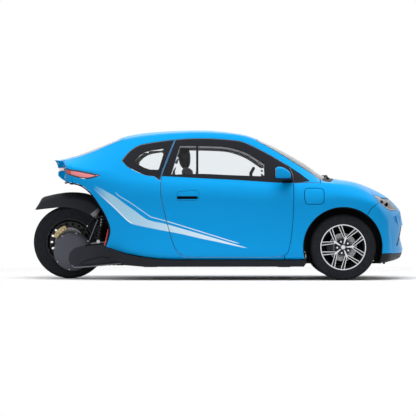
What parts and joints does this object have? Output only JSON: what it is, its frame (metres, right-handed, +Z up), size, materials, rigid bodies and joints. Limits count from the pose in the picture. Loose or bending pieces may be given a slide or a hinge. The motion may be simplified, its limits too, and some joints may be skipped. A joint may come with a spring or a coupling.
{
  "type": "three-wheeled electric coupe",
  "caption": "Closed coupe car with steered front wheels and a single driven rear wheel on a swingarm, opening doors, hood, hatch and charge flap.",
  "frame": {"origin": "on the ground under the middle of the car's length and width", "axes": "+X forward, +Y to the car's left, +Z up"},
  "size_m": [3.5609, 1.8606, 1.4244],
  "materials": {
    "body_paint": "gloss metallic blue",
    "trim": "satin black",
    "glass": "clear",
    "lamp": "clear lens over a dark housing",
    "red_lamp": "red lens",
    "interior": "grained",
    "seat_fabric": "woven",
    "chassis": "black paint",
    "battery_case": "plain",
    "cast_metal": "dark coated casting",
    "steel": "turned",
    "caliper": "bronze paint",
    "alloy": "dark paint with machined faces",
    "tyre": "moulded"
  },
  "bodies": {
    "car": {"floor_pan": "chassis", "battery_pack": "battery_case", "body_side_left": "body_paint", "body_side_right": "body_paint", "roof_panel": "body_paint", "front_fender_left": "body_paint", "front_fender_right": "body_paint", "front_bumper": "body_paint", "chin_spoiler": "trim", "headlights": "lamp", "cowl_panel": "trim", "windscreen": "glass", "quarter_trims": "trim", "quarter_windows": "glass", "rear_panel": "body_paint", "rear_lights": "red_lamp", "rear_bulkhead": "trim", "sill_trims": "trim", "wheel_liners": "trim", "seats": "seat_fabric", "dashboard": "interior", "front_subframe": "chassis", "drive_motor": "battery_case", "swingarm": "cast_metal", "drive_cover": "cast_metal", "rear_damper": "steel", "rear_mudguard": "trim", "rear_caliper": "caliper"},
    "left_door": {"door_left": "body_paint", "door_glass_left": "glass", "mirror_left": "body_paint"},
    "right_door": {"door_right": "body_paint", "door_glass_right": "glass", "mirror_right": "body_paint"},
    "hood_lid": {"hood": "body_paint"},
    "hatch_lid": {"hatch": "body_paint", "rear_glass": "glass"},
    "flap": {"charge_flap": "body_paint"},
    "steering": {"steering_wheel": "interior"},
    "left_knuckle": {"knuckle_left": "cast_metal"},
    "right_knuckle": {"knuckle_right": "cast_metal"},
    "left_front_wheel": {"brake_disc_left": "steel", "front_rim_left": "alloy", "front_tyre_left": "tyre"},
    "right_front_wheel": {"brake_disc_right": "steel", "front_rim_right": "alloy", "front_tyre_right": "tyre"},
    "rear_wheel": {"rear_disc": "steel", "rear_rim": "alloy", "rear_tyre": "tyre"}
  },
  "joints": [
    {"name": "left_steer", "type": "hinge", "parent": "car", "child": "left_knuckle", "pos_m": [1.17, 0.62, 0.31], "axis": [0, 0, 1], "range_deg": [-31, 31]},
    {"name": "right_steer", "type": "hinge", "parent": "car", "child": "right_knuckle", "pos_m": [1.17, -0.62, 0.31], "axis": [0, 0, 1], "range_deg": [-31, 31]},
    {"name": "steering_turn", "type": "hinge", "parent": "car", "child": "steering", "pos_m": [0.262, 0.33, 0.91], "axis": [-0.8746, 0, 0.4848], "range_deg": [-450, 450]},
    {"name": "left_front_roll", "type": "hinge", "parent": "left_knuckle", "child": "left_front_wheel", "pos_m": [1.17, 0.7, 0.31], "axis": [0, 1, 0], "continuous": true},
    {"name": "right_front_roll", "type": "hinge", "parent": "right_knuckle", "child": "right_front_wheel", "pos_m": [1.17, -0.7, 0.31], "axis": [0, 1, 0], "continuous": true},
    {"name": "rear_roll", "type": "hinge", "parent": "car", "child": "rear_wheel", "pos_m": [-1.43, 0, 0.35], "axis": [0, 1, 0], "continuous": true},
    {"name": "left_door_hinge", "type": "hinge", "parent": "car", "child": "left_door", "pos_m": [0.64, 0.785, 0.6], "axis": [0, 0, -1], "range_deg": [0, 65]},
    {"name": "right_door_hinge", "type": "hinge", "parent": "car", "child": "right_door", "pos_m": [0.64, -0.785, 0.6], "axis": [0, 0, 1], "range_deg": [0, 65]},
    {"name": "hood_hinge", "type": "hinge", "parent": "car", "child": "hood_lid", "pos_m": [1.045, 0, 0.945], "axis": [0, -1, 0], "range_deg": [0, 50]},
    {"name": "hatch_hinge", "type": "hinge", "parent": "car", "child": "hatch_lid", "pos_m": [-0.892, 0, 1.367], "axis": [0, 1, 0], "range_deg": [0, 70]},
    {"name": "flap_hinge", "type": "hinge", "parent": "car", "child": "flap", "pos_m": [0.993, -0.83, 0.787], "axis": [0, 0, 1], "range_deg": [0, 80]}
  ],
  "couplings": [
    {"joint": "right_steer", "follows": "left_steer", "ratio": 1},
    {"joint": "steering_turn", "follows": "left_steer", "ratio": 14}
  ]
}
